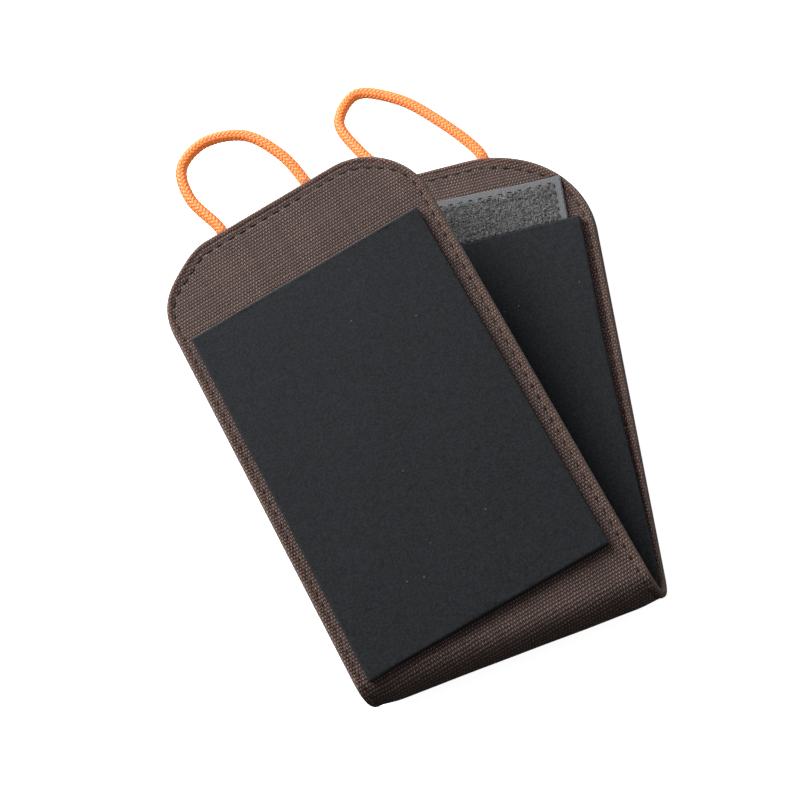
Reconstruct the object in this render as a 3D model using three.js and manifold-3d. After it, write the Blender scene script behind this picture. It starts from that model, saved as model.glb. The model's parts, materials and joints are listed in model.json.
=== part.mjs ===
// A padded fabric wrap, folded once across its middle. Two round-cornered legs, back (below) and
// front (above), are joined by a soft bend and carry a cord loop at each free end.
//
// Frame, in millimetres: +X runs along the fold, +Y from the fold towards the free ends, +Z up.
// The origin is the middle of the face that the wrap rests on, the back leg's outer pad.
//
// Strip coordinates, with the wrap laid out flat: v across, u along a leg from the fold line,
// and h the height above the middle layer, positive towards the inside of the fold.
import * as THREE from "three";
import { mergeVertices } from "three/addons/utils/BufferGeometryUtils.js";
import Module from "manifold-3d";

const wasm = await Module();
wasm.setup();

// Driving dimensions
const WIDTH = 68;
const BACK_LENGTH = 125.6; // from the fold line to the free end
const FRONT_LENGTH = 123.1;
const CORNER_RADIUS = 17;
const FABRIC = 0.7; // thickness of one fabric layer
const CAVITY = 1.0; // space between the two fabric layers
const PAD = 1.7;
const GLUE_LINE = 0.1; // free space between layers that lie on each other
const BEND_RADIUS = 4.5; // of the middle layer round the fold
const OPENING = THREE.MathUtils.degToRad(6); // angle between the legs
const SKEW = THREE.MathUtils.degToRad(9); // how far each leg turns away from square to the fold
const BEND_HINGES = 3;
const SLICE_GAP = 0.3; // between neighbouring slices of the bend when it is flat
const CORD_RADIUS = 1.5;

// Worked out from them
const SHELL_HALF = FABRIC + CAVITY / 2;
const SLICES = BEND_HINGES - 1;
const REST_TURN = (Math.PI - OPENING) / BEND_HINGES; // at each hinge
const CLOSED_TURN = Math.PI / BEND_HINGES;
const SLICE_LENGTH = 2 * BEND_RADIUS * Math.tan(REST_TURN / 2);
const BEND_HALF = (BEND_HINGES / 2) * SLICE_LENGTH; // from the fold line to where a leg is straight
const LEG_START = BEND_HALF - SLICE_LENGTH / 2; // distance of the first hinge line from the fold line
const PAD_BOTTOM = SHELL_HALF + GLUE_LINE;
const PAD_TOP = PAD_BOTTOM + PAD;
const MIDDLE_Z = PAD_TOP; // height of the back leg's middle layer above the resting face
const BEND_CENTRE_Z = MIDDLE_Z + BEND_RADIUS;

// Layout of the layers on a leg
const RIM_WIDTH = 1.2; // turned-in edge of each fabric layer
const FELT_CLEARANCE = 0.3; // between the interlining and the turned-in edge
const INTERLINING_INSET = RIM_WIDTH + FELT_CLEARANCE;
const SEAM_DEPTH = 12; // end of the interlining, where the cord tails are sewn in
const STITCH_INSET = 1.7; // along the sides
const END_SEAM_EXTRA = 1.05; // how much further in the seam lies at a leg's free end
const THREAD = 0.5;
const THREAD_HEIGHT = 0.25;
const OUTER_PAD_HALF_WIDTH = 30;
const INNER_PAD_HALF_WIDTH = 31.5;
const PAD_CORNER = 1.2;
const OUTER_PAD_START = 11.2;
const OUTER_PAD_END = 102.5;
const INNER_PAD_MARGIN = 22.5; // from its end to the leg's free end
const TAPE_HALF_WIDTH = 28;
const TAPE_MARGIN = 9.1; // from its far side to the leg's free end
const TAPE_WIDTH = 13.2;
const TAPE = 0.9;
const TAPE_CORNER = 0.4;
const TAPE_STITCH_INSET = 1.5;

// Cord layout at a free end
const KNUCKLE_GAP = 0.3; // between the seam and the round root of the loop
const CORD_AXIS = KNUCKLE_GAP + CORD_RADIUS; // distance of the hinge axis from the end seam
const TAIL_WIDTH = 4;
const TAIL_LENGTH = 11;
const TAIL_ROUNDING = 0.3;
const TAIL_CLEARANCE = 0.3;
const NOTCH_ROUNDING = 0.1;

const OVERCUT = 1; // how far a cutting solid reaches past what it cuts
const MERGE_DISTANCE = 1e-4;
const ARC_SEGMENTS = 4; // an arc takes twice as many sides
const CORD_SEGMENTS = 4;
const CORD_STEPS = 26;

function plainMaterial(colour, roughness) {
  return new THREE.MeshStandardMaterial({ color: colour, roughness, metalness: 0 });
}

const brownFabric = plainMaterial(0x55423c, 0.85);
const blackPad = plainMaterial(0x262a2d, 0.95);
const greyTape = plainMaterial(0x6e706f, 1);
const blackTape = plainMaterial(0x2b2c2e, 0.9);
const darkThread = plainMaterial(0x33281f, 0.7);
const paleFelt = plainMaterial(0xb8b2a6, 1);
const orangeCord = plainMaterial(0xf08535, 0.6);

// Solids: three.js geometry to a manifold and back

function solidOf(geometry) {
  const bare = geometry.clone();
  bare.deleteAttribute("normal");
  bare.deleteAttribute("uv");
  const merged = mergeVertices(bare, MERGE_DISTANCE);
  return new wasm.Manifold(
    new wasm.Mesh({
      numProp: 3,
      vertProperties: new Float32Array(merged.attributes.position.array),
      triVerts: new Uint32Array(merged.index.array),
    }),
  );
}

function geometryOf(solid) {
  const mesh = solid.getMesh();
  const geometry = new THREE.BufferGeometry();
  geometry.setAttribute("position", new THREE.BufferAttribute(mesh.vertProperties, 3));
  geometry.setIndex(new THREE.BufferAttribute(mesh.triVerts, 1));
  return geometry;
}

// A flat plate of the given outline, between two heights.
function plate(outline, low, high) {
  const options = { depth: high - low, bevelEnabled: false, curveSegments: ARC_SEGMENTS };
  return new THREE.ExtrudeGeometry(outline, options).translate(0, 0, low);
}

// Outlines, in leg coordinates: x = v and y = u

// Where the line at the given distance from the fold line crosses the leg at v.
function foldSide(v, distance) {
  return (distance + v * Math.sin(SKEW)) / Math.cos(SKEW);
}

// The outline of a leg of the given length, moved in from its free edges and starting at a
// distance from the fold line.
function legOutline(length, inset, distance) {
  const half = WIDTH / 2 - inset;
  const end = length - inset;
  const radius = CORNER_RADIUS - inset;
  const outline = new THREE.Shape();
  outline.moveTo(-half, foldSide(-half, distance));
  outline.lineTo(half, foldSide(half, distance));
  outline.lineTo(half, end - radius);
  outline.absarc(half - radius, end - radius, radius, 0, Math.PI / 2);
  outline.lineTo(radius - half, end);
  outline.absarc(radius - half, end - radius, radius, Math.PI / 2, Math.PI);
  return outline;
}

// A rectangle with rounded corners.
function roundedOutline(left, right, bottom, top, radius) {
  const outline = new THREE.Shape();
  outline.absarc(right - radius, bottom + radius, radius, -Math.PI / 2, 0);
  outline.absarc(right - radius, top - radius, radius, 0, Math.PI / 2);
  outline.absarc(left + radius, top - radius, radius, Math.PI / 2, Math.PI);
  outline.absarc(left + radius, bottom + radius, radius, Math.PI, 1.5 * Math.PI);
  return outline;
}

// The inner pad: square at its free end, cut along the fold line at the other.
function innerPadOutline(length, distance) {
  const outline = new THREE.Shape();
  const half = INNER_PAD_HALF_WIDTH;
  outline.moveTo(-half, foldSide(-half, distance));
  outline.lineTo(half, foldSide(half, distance));
  const top = length - INNER_PAD_MARGIN - PAD_CORNER;
  outline.absarc(half - PAD_CORNER, top, PAD_CORNER, 0, Math.PI / 2);
  outline.absarc(PAD_CORNER - half, top, PAD_CORNER, Math.PI / 2, Math.PI);
  return outline;
}

// How far a layer that reaches a depth inside the fold stays back from a hinge line, so that
// its neighbours clear it when the wrap is closed.
function hingeSetback(depth) {
  return SLICE_GAP / 2 + depth * Math.tan(CLOSED_TURN / 2);
}

// Pieces of one leg. face is +1 on the inside of the fold and -1 on the outside.

function layer(outline, face, near, far) {
  return face > 0 ? plate(outline, near, far) : plate(outline, -far, -near);
}

// One fabric layer with its edge turned in to the middle, and notches where the cord passes.
function fabricTray(length, face, cordRoots) {
  const start = LEG_START + hingeSetback(face > 0 ? SHELL_HALF : 0);
  const pocketTop = CAVITY / 2;
  const whole = solidOf(layer(legOutline(length, 0, start), face, GLUE_LINE / 2, SHELL_HALF));
  const pocket = solidOf(layer(legOutline(length, RIM_WIDTH, 0), face, 0, pocketTop));
  const half = TAIL_WIDTH / 2 + TAIL_CLEARANCE;
  const notches = cordRoots.map((v) => {
    const bottom = length - SEAM_DEPTH;
    const opening = roundedOutline(v - half, v + half, bottom, length + OVERCUT, NOTCH_ROUNDING);
    return solidOf(layer(opening, face, 0, pocketTop));
  });
  return geometryOf(notches.reduce((tray, notch) => tray.subtract(notch), whole.subtract(pocket)));
}

function interlining(length) {
  const start = LEG_START + hingeSetback(CAVITY / 2);
  const full = new THREE.Shape();
  const half = WIDTH / 2 - INTERLINING_INSET;
  const end = length - SEAM_DEPTH;
  const radius = CORNER_RADIUS - INTERLINING_INSET;
  const centre = length - CORNER_RADIUS;
  const reach = Math.asin((end - centre) / radius);
  full.moveTo(-half, foldSide(-half, start));
  full.lineTo(half, foldSide(half, start));
  full.absarc(half - radius, centre, radius, 0, reach);
  full.absarc(radius - half, centre, radius, Math.PI - reach, Math.PI);
  const high = CAVITY / 2 - GLUE_LINE;
  return plate(full, -high, high);
}

// The thread round the three free edges, just above the fabric.
function hemThread(length, face) {
  const low = SHELL_HALF + GLUE_LINE;
  const high = low + THREAD_HEIGHT;
  const end = length - END_SEAM_EXTRA;
  const outer = legOutline(end, STITCH_INSET, LEG_START + hingeSetback(high));
  const inner = legOutline(end, STITCH_INSET + THREAD, 0);
  const core = solidOf(layer(inner, face, low - OVERCUT, high + OVERCUT));
  return geometryOf(solidOf(layer(outer, face, low, high)).subtract(core));
}

function outerPad(shift) {
  const left = shift - OUTER_PAD_HALF_WIDTH;
  const right = shift + OUTER_PAD_HALF_WIDTH;
  const outline = roundedOutline(left, right, OUTER_PAD_START, OUTER_PAD_END, PAD_CORNER);
  return layer(outline, -1, PAD_BOTTOM, PAD_TOP);
}

function innerPad(length) {
  const outline = innerPadOutline(length, LEG_START + hingeSetback(PAD_TOP));
  return layer(outline, 1, PAD_BOTTOM, PAD_TOP);
}

function tape(length) {
  const top = length - TAPE_MARGIN;
  const half = TAPE_HALF_WIDTH;
  const outline = roundedOutline(-half, half, top - TAPE_WIDTH, top, TAPE_CORNER);
  return layer(outline, 1, PAD_BOTTOM, PAD_BOTTOM + TAPE);
}

// The stitching that holds the tape, along its far side and its two ends.
function tapeThread(length) {
  const half = TAPE_HALF_WIDTH - TAPE_STITCH_INSET;
  const top = length - TAPE_MARGIN - TAPE_STITCH_INSET;
  const bottom = length - TAPE_MARGIN - TAPE_WIDTH;
  const outline = new THREE.Shape();
  outline.moveTo(-half, bottom);
  outline.lineTo(THREAD - half, bottom);
  outline.lineTo(THREAD - half, top - THREAD);
  outline.lineTo(half - THREAD, top - THREAD);
  outline.lineTo(half - THREAD, bottom);
  outline.lineTo(half, bottom);
  outline.lineTo(half, top);
  outline.lineTo(-half, top);
  const low = PAD_BOTTOM + TAPE + GLUE_LINE;
  return layer(outline, 1, low, low + THREAD_HEIGHT);
}

// The flattened end of a cord, sewn between the two fabric layers.
function cordTail(length, v) {
  const half = TAIL_WIDTH / 2;
  const bottom = length - TAIL_LENGTH;
  const outline = roundedOutline(v - half, v + half, bottom, length - GLUE_LINE, TAIL_ROUNDING);
  const high = CAVITY / 2 - GLUE_LINE;
  return plate(outline, -high, high);
}

// A loop of round cord from one root to the other. Each point is v and the distance from the
// hinge axis along the leg, and the first and last are the roots, rounded so that they can turn.
function cordLoop(length, points) {
  const axis = length + CORD_AXIS;
  const places = points.map(([v, reach]) => new THREE.Vector3(v, axis + reach, 0));
  const path = new THREE.CatmullRomCurve3(places, false, "centripetal");
  const section = new THREE.Shape().absarc(0, 0, CORD_RADIUS, 0, 2 * Math.PI);
  const tube = new THREE.ExtrudeGeometry(section, {
    steps: CORD_STEPS,
    curveSegments: CORD_SEGMENTS,
    extrudePath: path,
  });
  const roots = [places[0], places.at(-1)].map((place) =>
    solidOf(
      new THREE.SphereGeometry(CORD_RADIUS, 2 * CORD_SEGMENTS, CORD_SEGMENTS).translate(...place),
    ),
  );
  return geometryOf(roots.reduce((loop, root) => loop.add(root), solidOf(tube)));
}

// Assembly

const wrap = new THREE.Group();
const assembly = new THREE.Group();
const padMiddle = (OUTER_PAD_START + OUTER_PAD_END) / 2;
assembly.position.x = -padMiddle * Math.sin(SKEW);
assembly.position.y = BEND_HALF - padMiddle * Math.cos(SKEW);
wrap.add(assembly);

function place(parent, name, geometry, material) {
  const mesh = new THREE.Mesh(geometry, material);
  mesh.name = name;
  parent.add(mesh);
}

// A group whose y runs along the strip and whose origin is at a distance before the middle
// layer's touching point, after the given turn round the bend.
function bendGroup(turn, distance) {
  const turned = new THREE.Group();
  turned.position.z = BEND_CENTRE_Z;
  turned.rotation.x = -turn;
  const laid = new THREE.Group();
  laid.position.set(0, distance, -BEND_RADIUS);
  turned.add(laid);
  assembly.add(turned);
  return laid;
}

function addLeg(side, { length, turn, distance, heading, padShift, tapeName, tapeMaterial, cord }) {
  const leg = bendGroup(turn, distance);
  leg.rotation.z = heading;
  const roots = [cord[0][0], cord.at(-1)[0]];
  place(leg, side + "_outer_fabric", fabricTray(length, -1, roots), brownFabric);
  place(leg, side + "_inner_fabric", fabricTray(length, 1, roots), brownFabric);
  place(leg, side + "_interlining", interlining(length), paleFelt);
  place(leg, side + "_outer_topstitch", hemThread(length, -1), darkThread);
  place(leg, side + "_inner_topstitch", hemThread(length, 1), darkThread);
  place(leg, side + "_outer_pad", outerPad(padShift), blackPad);
  place(leg, side + "_inner_pad", innerPad(length), blackPad);
  place(leg, side + tapeName, tape(length), tapeMaterial);
  place(leg, side + tapeName + "_stitching", tapeThread(length), darkThread);
  place(leg, side + "_cord_tail_1", cordTail(length, roots[0]), orangeCord);
  place(leg, side + "_cord_tail_2", cordTail(length, roots[1]), orangeCord);
  place(leg, side + "_cord_loop", cordLoop(length, cord), orangeCord);
}

addLeg("back", {
  length: BACK_LENGTH,
  turn: 0,
  distance: -BEND_HALF,
  heading: -SKEW,
  padShift: 0,
  tapeName: "_loop_tape",
  tapeMaterial: greyTape,
  cord: [
    [-13, 0],
    [-19, 8.5],
    [-23, 18],
    [-18, 24.3],
    [-8, 20.3],
    [1.2, 11.5],
    [9.8, 0],
  ],
});

addLeg("front", {
  length: FRONT_LENGTH,
  turn: Math.PI - OPENING,
  distance: BEND_HALF,
  heading: Math.PI - SKEW,
  padShift: 0.4,
  tapeName: "_hook_tape",
  tapeMaterial: blackTape,
  cord: [
    [12.9, 0],
    [15.7, 10.2],
    [14.1, 18],
    [7, 20.9],
    [-2.5, 17.2],
    [-8, 8],
    [-9.8, 0],
  ],
});

// Slices of the bend: the strip's four layers, each a bar along the fold. On the inside, a bar
// narrows towards the centre of the bend so that neighbours clear each other when it closes.

function sliceBar(low, high, halfWidth, along) {
  const halfLength = (h) => SLICE_LENGTH / 2 - hingeSetback(Math.max(h, 0));
  const outline = new THREE.Shape();
  outline.moveTo(-halfLength(low), low);
  outline.lineTo(halfLength(low), low);
  outline.lineTo(halfLength(high), high);
  outline.lineTo(-halfLength(high), high);
  const reach = halfWidth / Math.cos(SKEW);
  const bar = new THREE.ExtrudeGeometry(outline, { depth: 2 * reach, bevelEnabled: false });
  bar.translate(0, 0, -reach);
  // The outline's x becomes y, its y becomes z, and the extrusion runs along x.
  bar.applyMatrix4(new THREE.Matrix4().makeBasis(
    new THREE.Vector3(0, 1, 0),
    new THREE.Vector3(0, 0, 1),
    new THREE.Vector3(1, 0, 0),
  ));
  // The strip crosses the fold at the skew angle, so each bar leans along x.
  const lean = Math.tan(SKEW);
  const shear = new THREE.Matrix4().set(1, lean, 0, along * lean, 0, 1, 0, 0, 0, 0, 1, 0, 0, 0, 0, 1);
  return bar.applyMatrix4(shear);
}

for (let slice = 1; slice <= SLICES; slice++) {
  const group = bendGroup(slice * REST_TURN, 0);
  const along = (BEND_HINGES / 2 - slice) * SLICE_LENGTH;
  const half = WIDTH / 2;
  const felt = CAVITY / 2 - GLUE_LINE;
  const name = "fold_slice_" + slice;
  place(group, name + "_outer_fabric", sliceBar(-SHELL_HALF, -CAVITY / 2, half, along), brownFabric);
  place(group, name + "_interlining", sliceBar(-felt, felt, half - INTERLINING_INSET, along), paleFelt);
  place(group, name + "_inner_fabric", sliceBar(CAVITY / 2, SHELL_HALF, half, along), brownFabric);
  place(group, name + "_inner_pad", sliceBar(PAD_BOTTOM, PAD_TOP, INNER_PAD_HALF_WIDTH, along), blackPad);
}

export default wrap;
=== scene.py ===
"""A padded fabric wrap, folded once, with a cord loop at each rounded end.

Lengths are in millimetres until a mesh is made. Shapes are first laid out on the flat strip and
then folded. Strip coordinates are across (from edge to edge), along (from the fold line, positive
on the back leg) and height (from the middle layer, positive towards the inside of the fold).
A leg's own coordinates are the same, with across and along turned by half a turn on the front leg,
so that along always grows from the fold line towards the free end.
"""

import json
import math
from collections import namedtuple

import bpy
import numpy as np
from mathutils import Matrix, Vector


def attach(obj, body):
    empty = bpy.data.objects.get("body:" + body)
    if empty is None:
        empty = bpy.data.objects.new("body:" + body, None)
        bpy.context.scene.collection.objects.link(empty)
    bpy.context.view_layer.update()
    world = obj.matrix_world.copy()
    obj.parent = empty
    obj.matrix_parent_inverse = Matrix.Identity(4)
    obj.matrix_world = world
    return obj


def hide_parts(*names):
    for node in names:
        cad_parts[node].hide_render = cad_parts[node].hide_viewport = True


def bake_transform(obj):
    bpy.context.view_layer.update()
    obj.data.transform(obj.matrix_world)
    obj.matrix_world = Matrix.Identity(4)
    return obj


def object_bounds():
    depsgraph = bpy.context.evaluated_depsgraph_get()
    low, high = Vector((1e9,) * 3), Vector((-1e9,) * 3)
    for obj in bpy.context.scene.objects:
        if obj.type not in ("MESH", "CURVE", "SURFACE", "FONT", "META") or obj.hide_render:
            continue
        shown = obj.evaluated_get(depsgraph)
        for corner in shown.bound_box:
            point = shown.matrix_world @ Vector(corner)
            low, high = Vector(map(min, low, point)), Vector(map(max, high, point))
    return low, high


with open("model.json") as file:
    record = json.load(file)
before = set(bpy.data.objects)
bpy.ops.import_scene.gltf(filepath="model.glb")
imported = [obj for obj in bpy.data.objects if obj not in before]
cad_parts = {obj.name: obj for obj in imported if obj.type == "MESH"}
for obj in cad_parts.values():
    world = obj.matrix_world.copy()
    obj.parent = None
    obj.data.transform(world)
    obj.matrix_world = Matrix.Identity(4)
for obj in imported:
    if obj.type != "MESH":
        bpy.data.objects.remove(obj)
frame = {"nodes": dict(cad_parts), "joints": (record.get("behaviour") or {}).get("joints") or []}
cad_low, cad_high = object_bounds()

MM = 0.001
TURN = 2 * math.pi
BACK, FRONT = 1, -1
INSIDE, OUTSIDE = 1, -1
SIDE_NAMES = {BACK: "back", FRONT: "front"}
FACE_NAMES = {INSIDE: "inner", OUTSIDE: "outer"}
chance = np.random.default_rng(7)


# ---- the strip, read from the frame

joints = {joint["name"]: joint for joint in frame["joints"]}
first_hinge = np.array(joints["fold_1"]["pos_m"]) / MM
second_hinge = np.array(joints["fold_2"]["pos_m"]) / MM
cord_axis = joints["back_cord_swing"]["axis"]

SLICE = float(np.linalg.norm(second_hinge - first_hinge))  # strip length that one hinge bends
HINGE_TURN = math.radians(joints["fold_1"]["range_deg"][1])
BEND_RADIUS = SLICE / (2 * math.tan(HINGE_TURN / 2))
BEND_HALF = 1.5 * SLICE
FULL_TURN = 3 * HINGE_TURN
OPENING = math.pi - FULL_TURN
SKEW = math.atan2(-cord_axis[1], cord_axis[0])
TOUCH_Y = first_hinge[1] + SLICE / 2
CENTRE_Z = first_hinge[2] + BEND_RADIUS


def to_own(points, side, middle_x):
    """Points of the row frame, in metres, as (across, along, height) in a leg's own coordinates."""
    x, y, z = np.array(points, float).T / MM
    x, y, z = x - middle_x, y - TOUCH_Y, z - CENTRE_Z
    tilt = 0 if side == BACK else OPENING
    radius = side * (y * math.sin(tilt) - z * math.cos(tilt))
    square = side * (BEND_HALF + y * math.cos(tilt) + z * math.sin(tilt))
    across = x * math.cos(SKEW) - square * math.sin(SKEW)
    along = x * math.sin(SKEW) + square * math.cos(SKEW)
    return np.stack([side * across, side * along, BEND_RADIUS - radius], 1)


def cad_points(name):
    return [vertex.co for vertex in frame["nodes"][name].data.vertices]


back_shell = to_own(cad_points("back_outer_fabric"), BACK, 0)
WIDTH = float(np.ptp(back_shell[:, 0]))
MIDDLE_X = float(back_shell[:, 0].max() + back_shell[:, 0].min()) / 2 / math.cos(SKEW)


def extent(name, side):
    """Lowest and highest (across, along, height) of a CAD node in its leg's own coordinates."""
    points = to_own(cad_points(name), side, MIDDLE_X)
    return points.min(0), points.max(0)


LENGTH = {
    side: float(extent(name + "_outer_fabric", side)[1][1]) for side, name in SIDE_NAMES.items()
}
SHELL = float(extent("back_inner_fabric", BACK)[1][2])  # height of the fabric's surface
THREAD_HIGH = extent("back_inner_topstitch", BACK)[1]
INNER_PAD_LOW, INNER_PAD_HIGH = extent("back_inner_pad", BACK)


def fold(strip):
    """Strip coordinates to the row frame."""
    across, along, height = np.asarray(strip, float).T
    square = along * math.cos(SKEW) - across * math.sin(SKEW)
    turn = np.clip((1 - square / BEND_HALF) / 2, 0, 1) * FULL_TURN
    straight = np.maximum(np.abs(square) - BEND_HALF, 0)
    on_back = square > 0
    radius = BEND_RADIUS - height
    x = MIDDLE_X + across * math.cos(SKEW) + along * math.sin(SKEW)
    y = TOUCH_Y - radius * np.sin(turn) + straight * np.where(on_back, 1, math.cos(OPENING))
    z = CENTRE_Z - radius * np.cos(turn) + straight * np.where(on_back, 0, math.sin(OPENING))
    return np.stack([x, y, z], 1)


def leg_to_strip(points, side):
    """A leg's own coordinates to strip coordinates."""
    return np.asarray(points, float) * np.array([side, side, 1])


def fold_side(across, distance):
    """Where the line at a distance from the fold line crosses the strip."""
    return (distance + across * math.sin(SKEW)) / math.cos(SKEW)


def smooth_step(share):
    share = np.clip(share, 0, 1)
    return share * share * (3 - 2 * share)


def hump(distance, width):
    """A smooth hump, 1 high at no distance."""
    return np.exp(-((distance / width) ** 2))


# ---- sizes of what the eye sees

GRID = 0.75  # distance between the rows of a fabric mesh
FABRIC_COLUMNS, FELT_COLUMNS = 40, 12
PAD_GRID, PAD_COLUMNS = 1.6, 36
SUNK = 0.06  # how far a pad or tape reaches into the fabric that it lies on

CORNER_RADIUS = 17
CORNERS = {  # left and right corner of each leg: width, length, cut inside its arc, lean
    BACK: ((CORNER_RADIUS, CORNER_RADIUS, 0.6, 0), (28, 26, 0, 0)),
    FRONT: ((CORNER_RADIUS, CORNER_RADIUS, 0.2, 0), (CORNER_RADIUS, CORNER_RADIUS, 0.5, 0.5)),
}
LAYER = 0.7  # thickness of one fabric layer
STITCH_LINE = float(WIDTH / 2 - THREAD_HIGH[0] + 0.25)  # from the strip's edge to the stitching
END_SEAM_EXTRA = float(LENGTH[BACK] - THREAD_HIGH[1] + 0.25) - STITCH_LINE  # deeper at a leg's end
STITCH_PITCH = 3.0
HEM_RIDGE = 0.35  # how far the folded hem stands above the flat fabric
HEM_CREST = 1.0  # from the strip's edge
HEM_INSET = 3.9  # from the strip's edge to where the fabric is flat
EDGE_ROUNDING = 0.85

FELT_HALF = WIDTH / 2 - 1.5
FELT_HIGH = 0.4
FELT_BORDER = 0.2
FELT_CORNER = (6, 16, 0, 0)  # tapered, so that the felt stays inside the fabric's corners

PAD_BEVEL = 0.45
PAD_BORDER = 1.2  # from a pad's edge to where its mesh becomes regular
PAD_WALL_BOW = 0.06  # how far a pad's cut wall is pressed in at half its height
INNER_PAD_HALF = float(INNER_PAD_HIGH[0]) - 0.6  # half its width at its free end
INNER_PAD_CORNER = (0.6, 0.6, 0, 0)
PAD_FLARE = 2.2  # how much wider the inner pad is in the fold than at its free end
PAD_FLARE_REACH = 70


# ---- meshes

def make_piece(name, strip, faces, material, slot, uv=None, values=None, sharp=50):
    """A mesh piece from strip coordinates. uv is in millimetres, values are point attributes."""
    mesh = bpy.data.meshes.new(name)
    mesh.from_pydata((fold(strip) * MM).tolist(), [], faces)
    if uv is not None:
        corners = np.zeros(len(mesh.loops), np.int32)
        mesh.loops.foreach_get("vertex_index", corners)
        at_corners = np.asarray(uv)[corners].astype(np.float32).ravel()
        mesh.uv_layers.new(name="strip").data.foreach_set("uv", at_corners)
    for key, numbers in (values or {}).items():
        layer = mesh.attributes.new(key, "FLOAT", "POINT")
        layer.data.foreach_set("value", np.asarray(numbers, np.float32))
    mesh.shade_smooth()
    mesh.set_sharp_from_angle(angle=math.radians(sharp))
    mesh.materials.append(material)
    piece = bpy.data.objects.new(name, mesh)
    bpy.context.scene.collection.objects.link(piece)
    return piece


def leg_piece(side, node, ending, points, faces, material, slot, **details):
    """A piece in a leg's own coordinates that rides on the leg and stands for one of its nodes."""
    name = SIDE_NAMES[side] + "_" + node
    piece = make_piece(name + ending, leg_to_strip(points, side), faces, material, slot, **details)
    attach(piece, SIDE_NAMES[side] + "_leg")
    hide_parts(name)


def between(a, b, count):
    """count + 1 points from a to b for each pair of rows of a and b."""
    share = np.linspace(0, 1, count + 1)[None, :, None]
    return a[:, None, :] * (1 - share) + b[:, None, :] * share


def distances(path):
    """How far each point of a path is from its start, along the path."""
    return np.concatenate([[0], np.cumsum(np.linalg.norm(np.diff(path, axis=0), axis=1))])


def unit(vectors):
    return vectors / np.linalg.norm(vectors, axis=1)[:, None]


def round_angles(count):
    return np.arange(count) * TURN / count


def tube(centres, first, second, half_first, half_second, sides):
    """Rings of points round a course, with its two cross directions and half sizes."""
    angles = round_angles(sides)[None, :, None]
    rings = (
        centres[:, None, :]
        + np.cos(angles) * first[:, None, :] * half_first
        + np.sin(angles) * second[:, None, :] * half_second
    )
    return rings.reshape(-1, 3)


def tube_faces(rings, sides):
    """The faces of a closed tube made of rings of points."""
    faces = []
    for a in range(0, (rings - 1) * sides, sides):
        for i in range(sides):
            j = (i + 1) % sides
            faces.append([a + i, a + j, a + sides + j, a + sides + i])
    faces.append(list(reversed(range(sides))))
    faces.append([(rings - 1) * sides + i for i in range(sides)])
    return faces


def turned_over(faces):
    return [corners[::-1] for corners in faces]


def turned_to(face, points, faces):
    """The same body on the given face of the strip."""
    if face == INSIDE:
        return points, faces
    return points * [1, 1, -1], turned_over(faces)


def joined(parts):
    """Several pairs of points and faces as one pair."""
    faces, base = [], 0
    for points, part_faces in parts:
        faces += [[i + base for i in corners] for corners in part_faces]
        base += len(points)
    return np.concatenate([points for points, _ in parts]), faces


def outward_faces(points, faces):
    """The faces turned so that the closed bodies they make have a positive volume."""
    a, b, c = (points[[corners[k] for corners in faces]] for k in (0, 1, 2))
    volume = np.einsum("ij,ij->i", a, np.cross(b, c)).sum()
    return faces if volume > 0 else turned_over(faces)


# ---- flat slabs

class Plan:
    """The outline of a flat slab as left and right edge points, row by row, with the direction in
    which each edge point moves when the outline is drawn in. The far end is a straight line
    between the last two points; the near end is either cut or closed in the same way."""

    def __init__(self, edges, inward, near_closed):
        self.left, self.right = edges
        self.left_in, self.right_in = inward
        self.near_closed = near_closed

    def row_ends(self, inset):
        return self.left + self.left_in * inset, self.right + self.right_in * inset

    def rim(self, inset, columns):
        """The outline at an inset: up the left side, across the far end and down the right side,
        then back across the near end where that is closed."""
        left, right = self.row_ends(inset)
        parts = [left, between(left[-1:], right[-1:], columns)[0][1:-1], right[::-1]]
        if self.near_closed:
            parts.append(between(right[:1], left[:1], columns)[0][1:-1])
        return np.concatenate(parts)


def flare_share(square):
    """How much of its flare the inner pad has at a distance from the fold line."""
    return 1 - smooth_step(square / PAD_FLARE_REACH)


def leg_plan(length, half, corners, step, flare=0):
    """A leg's outline: cut along the fold at the near end, with rounded corners at the far end.
    half is half its width at the free end, and the corners are given as in CORNERS."""
    rounding = corners[0][1]
    rows = max(2, round((length - rounding - BEND_HALF) / step))
    share = np.linspace(0, 1, rows + 1)
    angles = np.linspace(0, math.pi / 2, max(2, round(rounding * math.pi / 2 / step)) + 1)[1:]
    edges, inward = [], []
    for sign, (wide, tall, cut, lean) in zip((-1, 1), corners):
        start = fold_side(sign * (half + flare * flare_share(BEND_HALF)), BEND_HALF)
        along = start + share * (length - tall - start)
        square = along * math.cos(SKEW) - sign * half * math.sin(SKEW)
        across = sign * (half + flare * flare_share(square))
        turn = np.stack([sign * np.cos(angles), np.sin(angles)], 1)
        cut_in = cut * np.sin(2 * angles) ** 2 - lean * np.sin(4 * angles) * np.sin(2 * angles)
        centre = np.array([sign * (half - wide), length - tall])
        arc = centre + turn * (wide, tall) - turn * cut_in[:, None]
        edges.append(np.concatenate([np.stack([across, along], 1), arc]))
        from_fold = np.stack([np.full(rows + 1, -sign), -sign * (1 - share) * math.tan(SKEW)], 1)
        inward.append(np.concatenate([from_fold, -turn]))
    return Plan(edges, inward, False)


BLOCK_ROUNDING, BLOCK_CORNER_STEPS = 0.5, 4


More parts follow.
